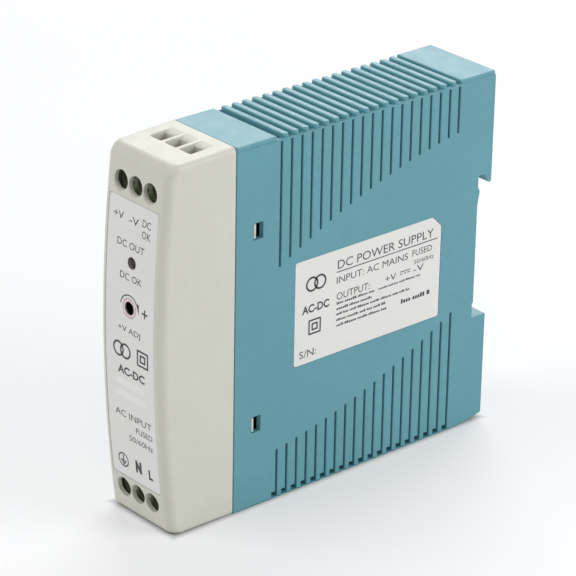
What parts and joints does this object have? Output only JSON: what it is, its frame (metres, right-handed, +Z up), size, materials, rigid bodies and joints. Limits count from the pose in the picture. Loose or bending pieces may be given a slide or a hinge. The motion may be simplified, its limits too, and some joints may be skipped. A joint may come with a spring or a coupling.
{
  "type": "DIN rail power supply",
  "caption": "Slim rail-mounted power supply with a vented teal case, bowed cream front cover, recessed screw terminals and a sprung rail latch.",
  "frame": {"origin": "middle of the base, between the front, the rail side and both sides", "axes": "+X across the width towards the labelled side, -Y out of the front with the terminals, +Y towards the rail, +Z up"},
  "size_m": [0.0226, 0.0999, 0.0905],
  "materials": {
    "housing_plastic": "fine moulded grain, low sheen",
    "cover_plastic": "fine moulded grain, low sheen",
    "label_film": "smooth printed film",
    "terminal_plastic": "moulded, low sheen",
    "screw_steel": "plated steel",
    "clamp_steel": "yellow zinc-plated steel",
    "tinned_brass": "tinned brass",
    "spring_steel": "drawn spring wire",
    "board_laminate": "solder-masked laminate",
    "ferrite": "sintered, matt",
    "winding_tape": "polyester tape",
    "capacitor_sleeve": "shrunk sleeve",
    "epoxy_black": "moulded epoxy",
    "film_box": "moulded box",
    "ceramic_blue": "dipped coating",
    "thermistor_coat": "dipped coating",
    "heatsink_aluminium": "plain sheet",
    "copper_winding": "enamelled copper wire",
    "led_lens": "tinted lens",
    "trimmer_body": "moulded",
    "trimmer_rotor": "moulded",
    "fuse_body": "moulded"
  },
  "bodies": {
    "case": {"rear_housing": "housing_plastic", "front_cover": "cover_plastic", "front_label": "label_film", "side_label": "label_film", "output_terminal_block": "terminal_plastic", "input_terminal_block": "terminal_plastic", "contact_bar_output_1": "tinned_brass", "contact_bar_output_2": "tinned_brass", "contact_bar_output_3": "tinned_brass", "contact_bar_input_1": "tinned_brass", "contact_bar_input_2": "tinned_brass", "contact_bar_input_3": "tinned_brass", "latch_spring": "spring_steel", "circuit_board": "board_laminate", "transformer_core": "ferrite", "transformer_winding": "winding_tape", "bulk_capacitor": "capacitor_sleeve", "output_capacitor_1": "capacitor_sleeve", "output_capacitor_2": "capacitor_sleeve", "output_capacitor_3": "capacitor_sleeve", "bridge_rectifier": "epoxy_black", "controller_chip": "epoxy_black", "optocoupler": "epoxy_black", "switching_transistor": "epoxy_black", "output_diode": "epoxy_black", "mains_filter_capacitor": "film_box", "safety_capacitor": "ceramic_blue", "inrush_thermistor": "thermistor_coat", "switching_transistor_heatsink": "heatsink_aluminium", "output_diode_heatsink": "heatsink_aluminium", "line_choke": "copper_winding", "output_choke": "copper_winding", "indicator_led": "led_lens", "trimmer_body": "trimmer_body", "fuse": "fuse_body"},
    "terminal_screw_output_1": {"terminal_screw_output_1": "screw_steel"},
    "terminal_screw_output_2": {"terminal_screw_output_2": "screw_steel"},
    "terminal_screw_output_3": {"terminal_screw_output_3": "screw_steel"},
    "terminal_screw_input_1": {"terminal_screw_input_1": "screw_steel"},
    "terminal_screw_input_2": {"terminal_screw_input_2": "screw_steel"},
    "terminal_screw_input_3": {"terminal_screw_input_3": "screw_steel"},
    "wire_clamp_output_1": {"wire_clamp_output_1": "clamp_steel"},
    "wire_clamp_output_2": {"wire_clamp_output_2": "clamp_steel"},
    "wire_clamp_output_3": {"wire_clamp_output_3": "clamp_steel"},
    "wire_clamp_input_1": {"wire_clamp_input_1": "clamp_steel"},
    "wire_clamp_input_2": {"wire_clamp_input_2": "clamp_steel"},
    "wire_clamp_input_3": {"wire_clamp_input_3": "clamp_steel"},
    "trimmer_rotor": {"trimmer_rotor": "trimmer_rotor"},
    "din_latch": {"din_latch": "housing_plastic"}
  },
  "joints": [
    {"name": "wire_clamp_output_1_slide", "type": "slide", "parent": "case", "child": "wire_clamp_output_1", "axis": [0, -1, 0], "range_m": [0, 0.003]},
    {"name": "terminal_screw_output_1_turn", "type": "hinge", "parent": "case", "child": "terminal_screw_output_1", "pos_m": [-0.00508, -0.045, 0.08275], "axis": [0, 1, 0], "range_deg": [0, 2160]},
    {"name": "wire_clamp_output_2_slide", "type": "slide", "parent": "case", "child": "wire_clamp_output_2", "axis": [0, -1, 0], "range_m": [0, 0.003]},
    {"name": "terminal_screw_output_2_turn", "type": "hinge", "parent": "case", "child": "terminal_screw_output_2", "pos_m": [0, -0.045, 0.08275], "axis": [0, 1, 0], "range_deg": [0, 2160]},
    {"name": "wire_clamp_output_3_slide", "type": "slide", "parent": "case", "child": "wire_clamp_output_3", "axis": [0, -1, 0], "range_m": [0, 0.003]},
    {"name": "terminal_screw_output_3_turn", "type": "hinge", "parent": "case", "child": "terminal_screw_output_3", "pos_m": [0.00508, -0.045, 0.08275], "axis": [0, 1, 0], "range_deg": [0, 2160]},
    {"name": "wire_clamp_input_1_slide", "type": "slide", "parent": "case", "child": "wire_clamp_input_1", "axis": [0, -1, 0], "range_m": [0, 0.003]},
    {"name": "terminal_screw_input_1_turn", "type": "hinge", "parent": "case", "child": "terminal_screw_input_1", "pos_m": [-0.00508, -0.045, 0.00675], "axis": [0, 1, 0], "range_deg": [0, 2160]},
    {"name": "wire_clamp_input_2_slide", "type": "slide", "parent": "case", "child": "wire_clamp_input_2", "axis": [0, -1, 0], "range_m": [0, 0.003]},
    {"name": "terminal_screw_input_2_turn", "type": "hinge", "parent": "case", "child": "terminal_screw_input_2", "pos_m": [0, -0.045, 0.00675], "axis": [0, 1, 0], "range_deg": [0, 2160]},
    {"name": "wire_clamp_input_3_slide", "type": "slide", "parent": "case", "child": "wire_clamp_input_3", "axis": [0, -1, 0], "range_m": [0, 0.003]},
    {"name": "terminal_screw_input_3_turn", "type": "hinge", "parent": "case", "child": "terminal_screw_input_3", "pos_m": [0.00508, -0.045, 0.00675], "axis": [0, 1, 0], "range_deg": [0, 2160]},
    {"name": "trimmer_rotor_turn", "type": "hinge", "parent": "case", "child": "trimmer_rotor", "pos_m": [-0.0001, -0.047, 0.054], "axis": [0, 1, 0], "range_deg": [-135, 135]},
    {"name": "din_latch_slide", "type": "slide", "parent": "case", "child": "din_latch", "axis": [0, 0, -1], "range_m": [0, 0.003], "stiffness_N_per_m": 500, "springref_m": -0.003, "deforming": ["latch_spring"]}
  ],
  "couplings": [
    {"joint": "terminal_screw_output_1_turn", "follows": "wire_clamp_output_1_slide", "rad_per_m": 12566},
    {"joint": "terminal_screw_output_2_turn", "follows": "wire_clamp_output_2_slide", "rad_per_m": 12566},
    {"joint": "terminal_screw_output_3_turn", "follows": "wire_clamp_output_3_slide", "rad_per_m": 12566},
    {"joint": "terminal_screw_input_1_turn", "follows": "wire_clamp_input_1_slide", "rad_per_m": 12566},
    {"joint": "terminal_screw_input_2_turn", "follows": "wire_clamp_input_2_slide", "rad_per_m": 12566},
    {"joint": "terminal_screw_input_3_turn", "follows": "wire_clamp_input_3_slide", "rad_per_m": 12566}
  ]
}
